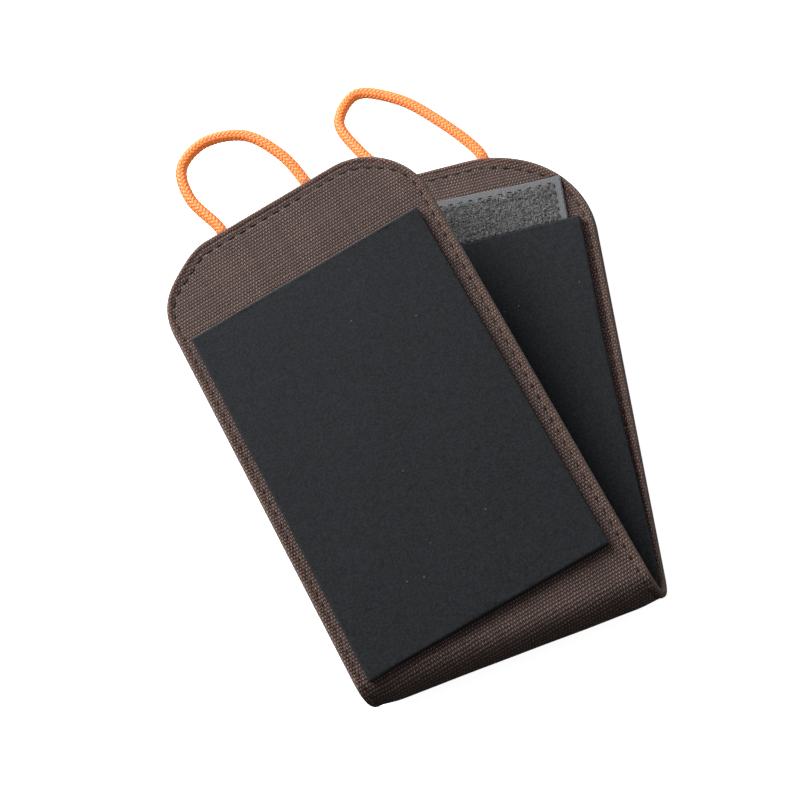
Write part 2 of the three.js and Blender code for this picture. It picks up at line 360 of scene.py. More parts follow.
def block_plan(low, high, step):
    """A rectangle with rounded corners."""
    near_end, far_end = low[1] + BLOCK_ROUNDING, high[1] - BLOCK_ROUNDING
    straight = np.linspace(near_end, far_end, max(2, round((far_end - near_end) / step)) + 1)[1:-1]
    angles = np.linspace(-math.pi / 2, 0, BLOCK_CORNER_STEPS + 1)
    edges, inward = [], []
    for sign, edge in ((-1, low[0]), (1, high[0])):
        near = np.stack([sign * np.cos(angles), np.sin(angles)], 1)
        far = near[::-1] * [1, -1]
        centre = edge - sign * BLOCK_ROUNDING
        near_corner = (centre, near_end) + BLOCK_ROUNDING * near
        far_corner = (centre, far_end) + BLOCK_ROUNDING * far
        middle = np.stack([np.full(len(straight), edge), straight], 1)
        edges.append(np.concatenate([near_corner, middle, far_corner]))
        inward.append(np.concatenate([-near, np.tile([-sign, 0], (len(middle), 1)), -far]))
    return Plan(edges, inward, True)


RELIEF_REACH = 3  # how far round its edge a slab's unevenness fades out


def slab(plan, profile, columns, top, rim_height=None):
    """A closed slab over a plan. profile lists (inset, height) from the top's border round the
    edge to the underside's border, top(across, along) adds to the top's height, and
    rim_height(inset, height, travelled) changes the height of a border point.
    Returns points in leg coordinates, faces, uv and each point's distance from the edge."""
    rows, width = len(plan.left), columns + 1
    travelled = distances(plan.rim(STITCH_LINE, columns))
    path_uv = plan.rim(profile[0][0], columns)
    away = plan.rim(0, columns) - plan.rim(1, columns)
    top_uv = between(*plan.row_ends(profile[0][0]), columns).reshape(-1, 2)
    under_uv = between(*plan.row_ends(profile[-1][0]), columns).reshape(-1, 2)
    points = [np.column_stack([top_uv, profile[0][1] + top(*top_uv.T)])]
    uv, distance = [top_uv], [np.full(len(top_uv), HEM_INSET + 1)]
    arc = 0
    for before, (inset, height) in zip(profile, profile[1:-1]):
        arc += math.dist(before, (inset, height))
        ring = plan.rim(inset, columns)
        lift = height + np.clip(1 - arc / RELIEF_REACH, 0, 1) * top(*ring.T)
        if rim_height:
            lift = lift + rim_height(inset, height, travelled)
        points.append(np.column_stack([ring, lift]))
        uv.append(path_uv + away * arc)
        distance.append(np.full(len(ring), inset))
    points.append(np.column_stack([under_uv, np.full(len(under_uv), profile[-1][1])]))
    uv.append(under_uv)
    distance.append(np.zeros(len(under_uv)))

    border = [row * width for row in range(rows)]
    border += [(rows - 1) * width + column for column in range(1, columns)]
    border += [row * width + columns for row in reversed(range(rows))]
    if plan.near_closed:
        border += reversed(range(1, columns))
    around = len(border)
    under = len(top_uv) + (len(profile) - 2) * around
    rings = [border]
    rings += [list(range(start, start + around)) for start in range(len(top_uv), under, around)]
    rings += [[under + i for i in border]]

    faces = []
    for row in range(rows - 1):
        for column in range(columns):
            a = row * width + column
            quad = [a, a + 1, a + 1 + width, a + width]
            faces += [quad, [under + i for i in reversed(quad)]]
    for upper, lower in zip(rings, rings[1:]):
        for i in range(around if plan.near_closed else around - 1):
            j = (i + 1) % around
            faces.append([upper[i], upper[j], lower[j], lower[i]])
    if not plan.near_closed:
        near_under = [under + column for column in reversed(range(width))]
        right_wall = [ring[-1] for ring in rings[1:-1]]
        left_wall = [ring[0] for ring in reversed(rings[1:-1])]
        faces.append((list(range(width)) + right_wall + near_under + left_wall)[::-1])
    return np.concatenate(points), faces, np.concatenate(uv), np.concatenate(distance)


# ---- fabric

HEM_STEPS = (3.55, 3.25, 3.0, 2.75, 2.45, 2.2, 1.95, 1.7, 1.45, 1.2, 1.0, 0.8)
EDGE_ANGLES = (20, 40, 60, 75, 90)
EDGE_GAP = 0.03  # between the rounded edge and the middle layer
TUCK_ALONG, TUCK_HALF_WIDTH = 85.0, 1.3  # a pinch in the front leg's outer hem
TUCK_DEPTH, TUCK_FOLD = 0.45, 0.3
CORD_SWELLING, CORD_SWELLING_WIDTH = 0.4, 1.9
WAVES = (  # change of phase across and along, phase, height
    (0.11, 0.05, 0.3, 0.05),
    (0.05, -0.16, 1.9, 0.045),
    (0.31, 0.21, 4.2, 0.02),
    (-0.4, 0.17, 2.7, 0.015),
)


def ripple(across, along, face):
    """The slight unevenness of fabric that lies over a soft core."""
    return sum(high * np.sin(a * across + b * along + phase + face) for a, b, phase, high in WAVES)


def hem_profile():
    """(inset, height) round the turned-in edge of one fabric layer, from the flat fabric to the
    layer's underside."""
    border = [(HEM_INSET, SHELL)]
    border += [(inset, SHELL + HEM_RIDGE * hump(inset - HEM_CREST, 0.5)) for inset in HEM_STEPS]
    corner, crest = border[-1]
    for angle in np.radians(EDGE_ANGLES):
        border.append((corner * (1 - math.sin(angle)), crest * math.cos(angle) + EDGE_GAP))
    return border + [(EDGE_ROUNDING, EDGE_GAP), (EDGE_ROUNDING + 0.4, SHELL - LAYER)]


def seam_dip(inset, line, travelled, pitch):
    """Depth of the groove that a seam pulls into the fabric, deepest at each needle hole."""
    hole = 0.5 + 0.5 * np.cos(TURN * travelled / pitch)
    return (0.12 + 0.14 * hole) * hump(inset - line, 0.34) + 0.06 * hole * hump(inset - HEM_CREST, 0.6)


def seam_line(path, side):
    """Distance from a leg's edge to its seam at each point of a path round the leg."""
    return STITCH_LINE + END_SEAM_EXTRA * smooth_step((path[:, 1] - LENGTH[side] + 11) / 9)


def fabric_plan(side):
    return leg_plan(LENGTH[side], WIDTH / 2, CORNERS[side], GRID)


def fabric_surface(side, face):
    """Unevenness of a leg's fabric: ripples, the swelling over the cord ends and one pinched tuck."""
    tails = [extent(SIDE_NAMES[side] + "_cord_tail_" + end, side) for end in ("1", "2")]
    roots = [float(low[0] + high[0]) / 2 for low, high in tails]

    def top(across, along):
        height = ripple(side * across, side * along, face)
        at_end = smooth_step((along - LENGTH[side] + 6) / 5)
        for root in roots:
            height = height + CORD_SWELLING * hump(across - root, CORD_SWELLING_WIDTH) * at_end
        if side == FRONT and face == OUTSIDE:
            hem = smooth_step((-across - WIDTH / 2 + 5) / 3)
            dent = hump(along - TUCK_ALONG, TUCK_HALF_WIDTH)
            fold_beside = hump(along - TUCK_ALONG - 2 * TUCK_HALF_WIDTH, 1.6)
            height = height + hem * (TUCK_FOLD * fold_beside - TUCK_DEPTH * dent)
        return height

    return top


def fabric_layer(side, face, material):
    plan = fabric_plan(side)
    line = seam_line(plan.rim(0, FABRIC_COLUMNS), side)

    def pulled_in(inset, height, travelled):
        return -seam_dip(inset, line, travelled, STITCH_PITCH) if height > SHELL - LAYER else 0 * line

    surface = fabric_surface(side, face)
    points, faces, uv, edge = slab(plan, hem_profile(), FABRIC_COLUMNS, surface, pulled_in)
    points, faces = turned_to(face, points, faces)
    leg_piece(
        side, FACE_NAMES[face] + "_fabric", "_sewn", points, faces, material, "brown_fabric",
        uv=uv * side, values={"edge": edge},
    )


def interlining_layer(side, material):
    """The felt core of a leg."""

    def flat(across, along):
        return 0 * across

    end = extent(SIDE_NAMES[side] + "_interlining", side)[1][1]
    plan = leg_plan(end, FELT_HALF, (FELT_CORNER, FELT_CORNER), GRID)
    profile = [(FELT_BORDER, FELT_HIGH), (0, FELT_HIGH), (0, -FELT_HIGH), (FELT_BORDER, -FELT_HIGH)]
    points, faces, uv, _ = slab(plan, profile, FELT_COLUMNS, flat)
    leg_piece(side, "interlining", "_felt", points, faces, material, "interlining", uv=uv * side)


# ---- the bend

Zone = namedtuple("Zone", "name start end bodies")  # start and end are distances from the fold line
BEND_BODIES = ("back_leg", "fold_slice_1", "fold_slice_2", "front_leg")
ZONES = [
    Zone(name, (1.5 - place) * SLICE, (0.5 - place) * SLICE, BEND_BODIES[place:place + 2])
    for place, name in enumerate(("fold_back", "fold_middle", "fold_front"))
]
ZONE_ROWS = 20
PINCH_REACH, PINCH_SHARE = 7, 0.5  # how far from its edges and how much the bend is pressed thinner


def blend_zone(piece, zone, height):
    """Bakes the piece's placement into its points. The line from start to end is worked out at the piece's
    innermost height, but it is not used."""
    line = fold([(0, fold_side(0, distance), height) for distance in (zone.start, zone.end)]) * MM
    line[1, 0] = line[0, 0]  # square to the fold
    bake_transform(piece)


def zone_piece(zone, part, section, material, slot, innermost, shape=None, flip=False, shown=None):
    """A bar along the fold. section lists (across, height) round the closed cross-section, with
    the points of the side that shows first, and shown is how many those are if not all;
    shape(across, height, square) may change a row's points, and flip is for a section that
    shows on the outside of the fold."""
    ring = np.array(section, float)
    arc = distances(ring)
    from_middle = arc - arc[(shown or len(ring)) // 2]
    points, uv, edge = [], [], []
    for square in np.linspace(zone.start, zone.end, ZONE_ROWS + 1):
        across, height = shape(*ring.T, square) if shape else ring.T
        points.append(np.column_stack([across, fold_side(across, square), height]))
        uv.append(np.column_stack([from_middle, fold_side(from_middle, square)]))
        edge.append(WIDTH / 2 - np.abs(across))
    faces = tube_faces(ZONE_ROWS + 1, len(ring))
    piece = make_piece(
        zone.name + "_" + part, np.concatenate(points), faces if flip else turned_over(faces),
        material, slot, uv=np.concatenate(uv), values={"edge": np.concatenate(edge)},
    )
    blend_zone(piece, zone, innermost)
    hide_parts(*[body + "_" + part for body in zone.bodies if "slice" in body])


def fabric_section(face):
    """The closed cross-section of one fabric layer, from edge to edge and back underneath, and
    how many of its points show."""
    half = WIDTH / 2
    *border, rounded, underside = hem_profile()
    flat = np.linspace(HEM_INSET - half, half - HEM_INSET, FABRIC_COLUMNS + 1)[1:-1]
    section = [(inset - half, height) for inset, height in reversed(border)]
    section += [(across, SHELL) for across in flat]
    section += [(half - inset, height) for inset, height in border]
    shown = len(section)
    section += [(half - inset, height) for inset, height in (rounded, underside)]
    section += [(inset - half, height) for inset, height in (underside, rounded)]
    return [(across, face * height) for across, height in section], shown


def pinch(inset, square):
    """How much of its thickness the bend keeps near its edges."""
    pressed = smooth_step(1 - inset / PINCH_REACH) * math.cos(math.pi * square / (2 * BEND_HALF)) ** 2
    return 1 - PINCH_SHARE * pressed


def zone_pitch(face):
    """Stitch pitch that fits a whole number of stitches in a zone."""
    radius = BEND_RADIUS - face * SHELL
    return SLICE / max(1, round(HINGE_TURN * radius / STITCH_PITCH))


def fabric_zone(zone, face, material):
    section, shown = fabric_section(face)

    def shape(across, height, square):
        inset = WIDTH / 2 - np.abs(across)
        lifted = face * height
        on_top = lifted > SHELL - 0.2
        waved = np.where(on_top, ripple(across, fold_side(across, square), face), 0)
        dip = seam_dip(inset, STITCH_LINE, square - 0.5 * SLICE, zone_pitch(face))
        dip = np.where((inset < HEM_INSET) & on_top, dip, 0)
        return across, face * (lifted + waved - dip) * pinch(inset, square)

    innermost = SHELL + HEM_RIDGE + 0.1 if face == INSIDE else 0
    part = FACE_NAMES[face] + "_fabric"
    zone_piece(zone, part, section, material, "brown_fabric", innermost, shape, face == OUTSIDE, shown)


def interlining_zone(zone, material):
    half, high = FELT_HALF, FELT_HIGH
    section = [(-half, -high), (-half, high), (half, high), (half, -high)]
    zone_piece(zone, "interlining", section, material, "interlining", high)


def pad_profile(top, bottom):
    """(inset, height) over a pad's bevelled edge and down its cut wall."""
    profile = [(PAD_BORDER, top), (0.8, top)]
    for angle in np.radians((0, 30, 60, 90)):
        profile.append((PAD_BEVEL * (1 - math.sin(angle)), top - PAD_BEVEL * (1 - math.cos(angle))))
    return profile + [(PAD_WALL_BOW, (top + bottom) / 2), (0, bottom)]


def inner_pad_zone(zone, material):
    top, half = INNER_PAD_HIGH[2], INNER_PAD_HALF
    profile = pad_profile(top, INNER_PAD_LOW[2] - SUNK)
    flat = np.linspace(PAD_BORDER - half, half - PAD_BORDER, 31)[1:-1]
    section = [(inset - half, height) for inset, height in reversed(profile)]
    section += [(across, top) for across in flat]
    section += [(half - inset, height) for inset, height in profile]

    def shape(across, height, square):
        return across * (1 + PAD_FLARE * flare_share(abs(square)) / half), height

    zone_piece(zone, "inner_pad", section, material, "black_pad", top, shape)


# ---- stitching

THREAD_RADIUS = 0.16
STITCH_LENGTH = 2.0
STITCH_RINGS, STITCH_SIDES = 8, 8
STITCH_BOW, STITCH_DIVE = 0.2, 0.16  # how far a stitch's middle rises and its ends sink
PLY_DEPTH, PLY_TWIST = 0.22, 2.2  # how far the thread's two plies stand out, and their turn
END_TAPER = 0.35


def thread_run(path, pitch, surface, face, length=STITCH_LENGTH, radius=THREAD_RADIUS):
    """Stitches along a path of (across, along) points, each a short bowed thread whose ends dive
    into the fabric."""
    travelled = distances(path)
    count = max(1, round(travelled[-1] / pitch))
    pitch = travelled[-1] / count
    angles = round_angles(STITCH_SIDES)

    def reached(distance):
        return np.array([np.interp(distance, travelled, path[:, k]) for k in (0, 1)])

    parts = []
    for stitch in range(count):
        middle = (stitch + 0.5) * pitch + chance.uniform(-0.08, 0.08)
        size = min(length, pitch * 0.72) * chance.uniform(0.94, 1.06)
        slant = chance.uniform(-0.06, 0.06)
        rings = []
        for bow in np.linspace(-1, 1, STITCH_RINGS):
            at = middle + bow * size / 2
            run = reached(at + 0.2) - reached(at - 0.2)
            run = run / max(np.linalg.norm(run), 1e-9)
            aside = np.array([-run[1], run[0]])
            ply = radius * (1 + PLY_DEPTH * np.cos(2 * (angles - PLY_TWIST * bow)))
            ply = ply * (1 - END_TAPER * bow**4)
            flat = reached(at) + (slant * bow + np.cos(angles) * ply)[:, None] * aside
            height = surface + STITCH_BOW * (1 - bow * bow) - STITCH_DIVE * bow**4
            rings.append(np.column_stack([flat, height + np.sin(angles) * ply]))
        parts.append((np.concatenate(rings), tube_faces(STITCH_RINGS, STITCH_SIDES)))
    points, faces = joined(parts)
    return turned_to(face, points, turned_over(faces))


def stitched_hem(side, face, material):
    plan = fabric_plan(side)
    outline = plan.rim(0, FABRIC_COLUMNS)
    inwards = plan.rim(1, FABRIC_COLUMNS) - outline
    path = outline + inwards * seam_line(outline, side)[:, None]
    points, faces = thread_run(path, STITCH_PITCH, SHELL - 0.14, face)
    dark = smooth_step((points[:, 1] - LENGTH[side] + 22) / 10)
    node = FACE_NAMES[face] + "_topstitch"
    leg_piece(side, node, "_thread", points, faces, material, "thread", values={"dark": dark})


def stitched_zone(zone, face, material):
    parts = []
    for sign in (-1, 1):
        across = sign * (WIDTH / 2 - STITCH_LINE)
        steps = np.linspace(zone.start, zone.end, 12)
        path = np.array([(across, fold_side(across, square)) for square in steps])
        run, faces = thread_run(path, zone_pitch(face), SHELL - 0.16, face, length=1.9)
        square = run[:, 1] * math.cos(SKEW) - run[:, 0] * math.sin(SKEW)
        square = np.clip(square, -BEND_HALF, BEND_HALF)
        run[:, 2] *= [pinch(STITCH_LINE, distance) for distance in square]
        parts.append((run, faces))
    name = zone.name + "_" + FACE_NAMES[face] + "_topstitch"
    piece = make_piece(name, *joined(parts), material, "thread")
    blend_zone(piece, zone, SHELL + 0.5 if face == INSIDE else 0.4 - SHELL)


# ---- pads

PAD_CROWN = 0.12
PAD_WAVES = ((0.23, 0.11, 0, 0.035), (0.09, -0.19, 1, 0.03))  # change across and along, side, height


def pad_surface(side, low, high):
    """The slight crown and unevenness of a foam pad's face."""
    middle, half = (low + high) / 2, (high - low) / 2

    def top(across, along):
        across_share, along_share = (across - middle[0]) / half[0], (along - middle[1]) / half[1]
        height = PAD_CROWN * (1 - across_share**2) * (1 - along_share**2)
        return height + sum(tall * np.sin(a * across + b * along + c * side) for a, b, c, tall in PAD_WAVES)

    return top


def pad_piece(side, node, slab_parts, material, face):
    points, faces, uv, edge = slab_parts
    points, faces = turned_to(face, points, faces)
    details = {"uv": uv, "values": {"edge": edge}}
    leg_piece(side, node, "_foam", points, faces, material, "black_pad", **details)


def outer_pad(side, material):
    low, high = extent(SIDE_NAMES[side] + "_outer_pad", side)
    plan, profile = block_plan(low, high, PAD_GRID), pad_profile(-low[2], -high[2] - SUNK)
    parts = slab(plan, profile, PAD_COLUMNS, pad_surface(side, low, high))
    pad_piece(side, "outer_pad", parts, material, OUTSIDE)


def inner_pad(side, material):
    low, high = extent(SIDE_NAMES[side] + "_inner_pad", side)
    corners = (INNER_PAD_CORNER, INNER_PAD_CORNER)
    plan = leg_plan(high[1], INNER_PAD_HALF, corners, PAD_GRID, flare=PAD_FLARE)
    uneven = pad_surface(side, low, high)

    def smooth_at_fold(across, along):
        return smooth_step((along - BEND_HALF - 8) / 20) * uneven(across, along)

    parts = slab(plan, pad_profile(high[2], low[2] - SUNK), PAD_COLUMNS, smooth_at_fold)
    pad_piece(side, "inner_pad", parts, material, INSIDE)


# ---- hook and loop tapes

SELVAGE = 1.9  # width of a tape's flat border
TAPE_DROOP = 1.5  # how far the tape's far side runs down towards its right end
TAPE_DROOP_START = -12
TAPE_EDGE = ((0.5, 0), (0.25, 0), (0.08, 0.1), (0, 0.3))  # inset, and depth below the tape's face
TAPE_GRID, TAPE_COLUMNS = 0.32, 170
TAPE_SEAM_INSET = 1.8
PILE_GRAIN = ((5.1, 2.3, 0.4), (-3.7, 5.9, 1.3), (7.9, -4.1, 2.2), (2.9, 8.3, 0.9))
HOOK_GRAIN = ((0, 11, 0), (9, 0, 1))
LOOP_COUNT, LOOP_RADIUS = 2400, 0.06
HOOK_PITCH_ACROSS, HOOK_PITCH_ALONG = 1.25, 1.1
HOOK_STEM, HOOK_CROOK, HOOK_RADIUS = 0.42, 0.26, 0.09
ROOTED = 0.05  # how far hooks and loops start below the tape's face


def drooped(points, low, high):
    """The tape isn't quite straight: its far side leans towards the pad at one end."""
    moved = np.array(points, float)
    share = (moved[:, 1] - low[1]) / (high[1] - low[1])
    run = (moved[:, 0] - TAPE_DROOP_START) / (high[0] - TAPE_DROOP_START)
    moved[:, 1] -= TAPE_DROOP * share * smooth_step(run)
    return moved


def tape_base(side, tape, grain, material):
    """A woven tape with a flat border and a slightly raised field."""
    low, high = extent(SIDE_NAMES[side] + "_" + tape, side)
    profile = [(inset, high[2] - depth) for inset, depth in TAPE_EDGE] + [(0, low[2] - SUNK)]

    def from_border(across, along):
        """Distance from the nearest bordered side: the side next to the pad has no border."""
        return np.minimum.reduce([across - low[0], high[0] - across, high[1] - along])

    def top(across, along):
        inset = np.minimum(from_border(across, along), SELVAGE + along - low[1])
        rough = sum(np.sin(f * across + g * along + p) for f, g, p in grain) / len(grain)
        return smooth_step((inset - SELVAGE) / 0.5) * (0.12 + 0.16 * rough)

    points, faces, uv, _ = slab(block_plan(low, high, TAPE_GRID), profile, TAPE_COLUMNS, top)
    details = {"uv": uv, "values": {"inset": from_border(*uv.T)}}
    leg_piece(side, tape, "_weave", drooped(points, low, high), faces, material, tape, **details)
    return low, high


def fibres(name, side, curves, radius, material, slot):
    """Thin three-sided fibres along curves of points in leg coordinates."""
    parts = []
    for curve in curves:
        run = unit(np.gradient(curve, axis=0))
        aside = unit(np.cross(run, [0.13, 0.21, 0.97]))
        rings = tube(curve, aside, np.cross(aside, run), radius, radius, 3)
        parts.append((rings, turned_over(tube_faces(len(curve), 3))))
    points, faces = joined(parts)
    piece = make_piece(name, leg_to_strip(points, side), faces, material, slot)
    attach(piece, SIDE_NAMES[side] + "_leg")


def loop_pile(low, high, material):
    """Small curled loops all over the loop tape's field."""
    curves = []
    bend = np.linspace(0, math.pi, 7)[:, None]
    for _ in range(LOOP_COUNT):
        across = chance.uniform(low[0] + SELVAGE + 0.2, high[0] - SELVAGE - 0.2)
        along = chance.uniform(low[1] + 0.3, high[1] - SELVAGE - 0.2)
        heading = chance.uniform(0, TURN)
        wide, tall = chance.uniform(0.25, 0.6), chance.uniform(0.25, 0.6)
        run = np.array([math.cos(heading), math.sin(heading), 0])
        lean = np.array([-run[1], run[0], 0]) * chance.uniform(-0.3, 0.3)
        curve = (across, along, high[2] - ROOTED) + np.cos(bend) * wide * run
        curves.append(drooped(curve + np.sin(bend) * (lean + (0, 0, tall)), low, high))
    fibres("back_loop_pile", BACK, curves, LOOP_RADIUS, material, "loop_tape")


def hook_rows(low, high, material):
    """Rows of small hooks, facing to and fro in turn."""
    curves = []
    bend = np.linspace(0, 1.25 * math.pi, 6)
    across_count = int((high[0] - low[0] - 2 * SELVAGE) / HOOK_PITCH_ACROSS)
    along_count = int((high[1] - low[1] - SELVAGE - 1) / HOOK_PITCH_ALONG)
    for row in range(along_count + 1):
        facing = 1 if row % 2 else -1
        reach = facing * HOOK_CROOK * (1 - np.cos(bend))
        crook = np.column_stack([reach, 0 * bend, HOOK_STEM + HOOK_CROOK * np.sin(bend)])
        along = low[1] + 0.7 + row * HOOK_PITCH_ALONG
        for column in range(across_count + 1):
            across = low[0] + SELVAGE + column * HOOK_PITCH_ACROSS
            foot = np.array([[across, along, high[2] - ROOTED]])
            curves.append(drooped(np.concatenate([foot, foot + crook]), low, high))
    fibres("front_hooks", FRONT, curves, HOOK_RADIUS, material, "hook_tape")


def tape_stitching(side, tape, low, high, material):
    """Stitches along a tape's two ends and far side."""
    left, right = low[0] + TAPE_SEAM_INSET, high[0] - TAPE_SEAM_INSET
    far = high[1] - TAPE_SEAM_INSET
    corners = np.array([(left, low[1]), (left, far), (right, far), (right, low[1])])
    parts = []
    for start, end in zip(corners, corners[1:]):
        path = between(start[None], end[None], 30)[0]
        parts.append(thread_run(path, 2.4, high[2] - 0.04, INSIDE, length=1.5, radius=0.11))
    points, faces = joined(parts)
    points, values = drooped(points, low, high), {"dark": np.full(len(points), 0.8)}
    leg_piece(side, tape + "_stitching", "_thread", points, faces, material, "thread", values=values)


# ---- cords

CORD_RADIUS = 1.5
BRAID_RADIUS = 1.4  # over the strands' crowns
CORE_RADIUS, CORE_SIDES = 0.9, 12
STRANDS = 8  # in each direction round the cord
STRAND_SIDES = 8
STRAND_HALF_WIDTH = 0.37
STRAND_HALF_THICKNESS = 0.21
WEAVE_DEPTH = 0.15  # how far a strand rises and dips as it passes over and under
LAY = 8.6  # length of one turn of a strand
CORD_STEP = 0.36
CORD_SEWN_IN = 2.5  # how far a cord's end reaches into the seam
CORD_SLANT = 0.35  # how much of its slope a cord's end keeps inside the seam
PRESSED_FLAT = 0.75  # how much of its thickness a cord's end loses there
# Each loop's course as shares of its box: across from left to right, and reach from the hinge.
LOOP_COURSE = {
    BACK: ((0.305, 0), (0.122, 0.35), (0, 0.741), (0.152, 1), (0.457, 0.835), (0.738, 0.473), (1, 0)),
    FRONT: ((0.89, 0), (1, 0.488), (0.937, 0.861), (0.659, 1), (0.286, 0.823), (0.071, 0.383), (0, 0)),
}


def mixed(a, b, start, end, t):
    """a where t is at the start, b where it is at the end, and in proportion elsewhere."""
    return ((end - t) * a + (t - start) * b) / (end - start)


def smooth_course(points, step):
    """Points at even steps along a centripetal Catmull-Rom curve through the given points."""
    points = np.array(points, float)
    points = np.concatenate([[2 * points[0] - points[1]], points, [2 * points[-1] - points[-2]]])
    fine = []
    for p0, p1, p2, p3 in zip(points, points[1:], points[2:], points[3:]):
        t1 = np.linalg.norm(p1 - p0) ** 0.5
        t2 = t1 + np.linalg.norm(p2 - p1) ** 0.5
        t3 = t2 + np.linalg.norm(p3 - p2) ** 0.5
        t = np.linspace(t1, t2, 60, endpoint=False)[:, None]
        a1, a2, a3 = mixed(p0, p1, 0, t1, t), mixed(p1, p2, t1, t2, t), mixed(p2, p3, t2, t3, t)
        fine.append(mixed(mixed(a1, a2, 0, t2, t), mixed(a2, a3, t1, t3, t), t1, t2, t))
    fine = np.concatenate(fine + [points[-2:-1]])
    travelled = distances(fine)
    at = np.linspace(0, travelled[-1], round(travelled[-1] / step) + 1)
    return np.column_stack([np.interp(at, travelled, fine[:, k]) for k in (0, 1)]), at


def cord_course(side, seam, hinge):
    """A cord loop's centre line in leg coordinates, with both ends sewn into the seam, and the
    distance travelled along it."""
    low, high = extent(SIDE_NAMES[side] + "_cord_loop", side)
    left, right = low[0] + CORD_RADIUS, high[0] - CORD_RADIUS
    reach = high[1] - CORD_RADIUS - hinge
    course = [(left + share * (right - left), hinge + out * reach) for share, out in LOOP_COURSE[side]]
    end = seam - CORD_SEWN_IN
    sewn_in = []
    for root, beyond in ((course[0], course[1]), (course[-1], course[-2])):
        slope = (root[0] - beyond[0]) / (beyond[1] - root[1])
        sewn_in.append((root[0] + CORD_SLANT * slope * (root[1] - end), end))
    flat, travelled = smooth_course(sewn_in[:1] + course + sewn_in[1:], CORD_STEP)
    return np.column_stack([flat, np.zeros(len(flat))]), travelled


def braided_cord(side, material):
    """A cord of strands that run both ways round a core, each over two and under two."""
    name, seam = SIDE_NAMES[side], LENGTH[side]
    hinge = to_own([joints[name + "_cord_swing"]["pos_m"]], side, MIDDLE_X)[0][1]
    centres, travelled = cord_course(side, seam, hinge)
    run = unit(np.gradient(centres, axis=0))
    up = np.tile([0.0, 0.0, 1.0], (len(run), 1))
    out = np.cross(run, up)

    core = tube(centres, out, up, CORE_RADIUS, CORE_RADIUS, CORE_SIDES)
    parts = [(core, tube_faces(len(centres), CORE_SIDES))]
    # painted shade: the core gets the lowest shade value, so the cord material colours it darkest, as the
    # shade between the strands
    shade = [np.zeros(len(core))]
    rest = BRAID_RADIUS - STRAND_HALF_THICKNESS - WEAVE_DEPTH + 0.03
    pitch = math.atan2(TURN * rest, LAY)
    half_sizes = (STRAND_HALF_WIDTH, STRAND_HALF_THICKNESS)
    strand_faces = tube_faces(len(centres), STRAND_SIDES)
    for direction in (1, -1):
        for strand in range(STRANDS):
            angle = (direction * TURN * travelled / LAY + TURN * strand / STRANDS)[:, None]
            crossing = 2 * strand + direction * 2 * STRANDS * travelled / LAY
            wave = (direction * np.cos(math.pi / 2 * (crossing - 0.5)))[:, None]
            outward = np.cos(angle) * out + np.sin(angle) * up
            onward = np.cos(angle) * up - np.sin(angle) * out
            across = math.cos(pitch) * onward - direction * math.sin(pitch) * run
            middle = centres + (rest + WEAVE_DEPTH * wave) * outward
            parts.append((tube(middle, across, outward, *half_sizes, STRAND_SIDES), strand_faces))
            # painted shade and highlight: a strand is lighter on its outer face and where it passes over,
            # and darker on its inner face and where it dips under
            lit = (0.55 + 0.45 * wave) * (0.6 + 0.4 * np.sin(round_angles(STRAND_SIDES)))
            shade.append(lit.ravel())
    points, faces = joined(parts)
    points[:, 2] *= 1 - PRESSED_FLAT * smooth_step((seam + 0.3 - points[:, 1]) / 1.6)
    piece = make_piece(
        name + "_cord_braid", leg_to_strip(points, side), outward_faces(points, faces),
        material, "cord", values={"shade": np.concatenate(shade)}, sharp=80,
    )
    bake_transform(piece)
    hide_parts(name + "_cord_loop")


# ---- materials

class Finish:
    """A node material, with short calls for the nodes that it is made of."""

    def __init__(self, name, roughness, specular, **more):
        self.material = bpy.data.materials.new(name)
        self.material.use_nodes = True
        self.tree = self.material.node_tree
        self.surface = self.tree.nodes["Principled BSDF"]
        for key, value in dict(more, Roughness=roughness, Specular_IOR_Level=specular).items():
            self.set(self.surface, key.replace("_", " "), value)

    def set(self, node, key, value):
        socket = node.inputs[key]
        if isinstance(value, bpy.types.NodeSocket):
            self.tree.links.new(value, socket)
        elif socket.type == "RGBA":
            socket.default_value = (*value, 1)
        else:
            socket.default_value = value

    def node(self, kind, output, settings=None, **inputs):
        made = self.tree.nodes.new("ShaderNode" + kind)
        for key, value in (settings or {}).items():
            setattr(made, key, value)
        for key, value in inputs.items():
            self.set(made, key.replace("_", " "), value)
        return made.outputs[output]

    def math(self, operation, *values):
        made = self.tree.nodes.new("ShaderNodeMath")
        made.operation = operation
        for index, value in enumerate(values):
            self.set(made, index, value)
        return made.outputs[0]

    def times(self, one, two):
        return self.math("MULTIPLY", one, two)

    def scaled(self, value, factor, added):
        return self.math("MULTIPLY_ADD", value, factor, added)

    def fade(self, value, zero, one):
        """0 where the value is at zero or before it, and 1 where it is at one or past it."""
        return self.node("MapRange", "Result", Value=value, From_Min=zero, From_Max=one)

    def mix(self, share, one, two):
        made = self.tree.nodes.new("ShaderNodeMix")
        made.data_type = "RGBA"
        for index, value in ((0, share), (6, one), (7, two)):
            self.set(made, index, value)
        return made.outputs[2]

    def vector_scale(self, vector, factor):
        return self.node("VectorMath", "Vector", {"operation": "SCALE"}, Vector=vector, Scale=factor)

    def strip(self):
        """The strip's uv in millimetres, whole and as across and along."""
        whole = self.node("UVMap", "UV", {"uv_map": "strip"})
        parts = self.tree.nodes.new("ShaderNodeSeparateXYZ")
        self.tree.links.new(whole, parts.inputs[0])
        return whole, parts.outputs["X"], parts.outputs["Y"]

    def place(self):
        """Object coordinates in millimetres."""
        return self.vector_scale(self.node("TexCoord", "Object"), 1 / MM)

    def noise(self, vector, scale, detail=2.0):
        return self.node("TexNoise", "Fac", Vector=vector, Scale=scale, Detail=detail)

    def attribute(self, name):
        return self.node("Attribute", "Fac", {"attribute_name": name})

    def bump(self, height, depth, strength=1.0):
        """Raises the surface by height times depth millimetres."""
        normal = self.node("Bump", "Normal", Height=height, Distance=depth * MM, Strength=strength)
        self.set(self.surface, "Normal", normal)

    def colour(self, value):
        self.set(self.surface, "Base Color", value)


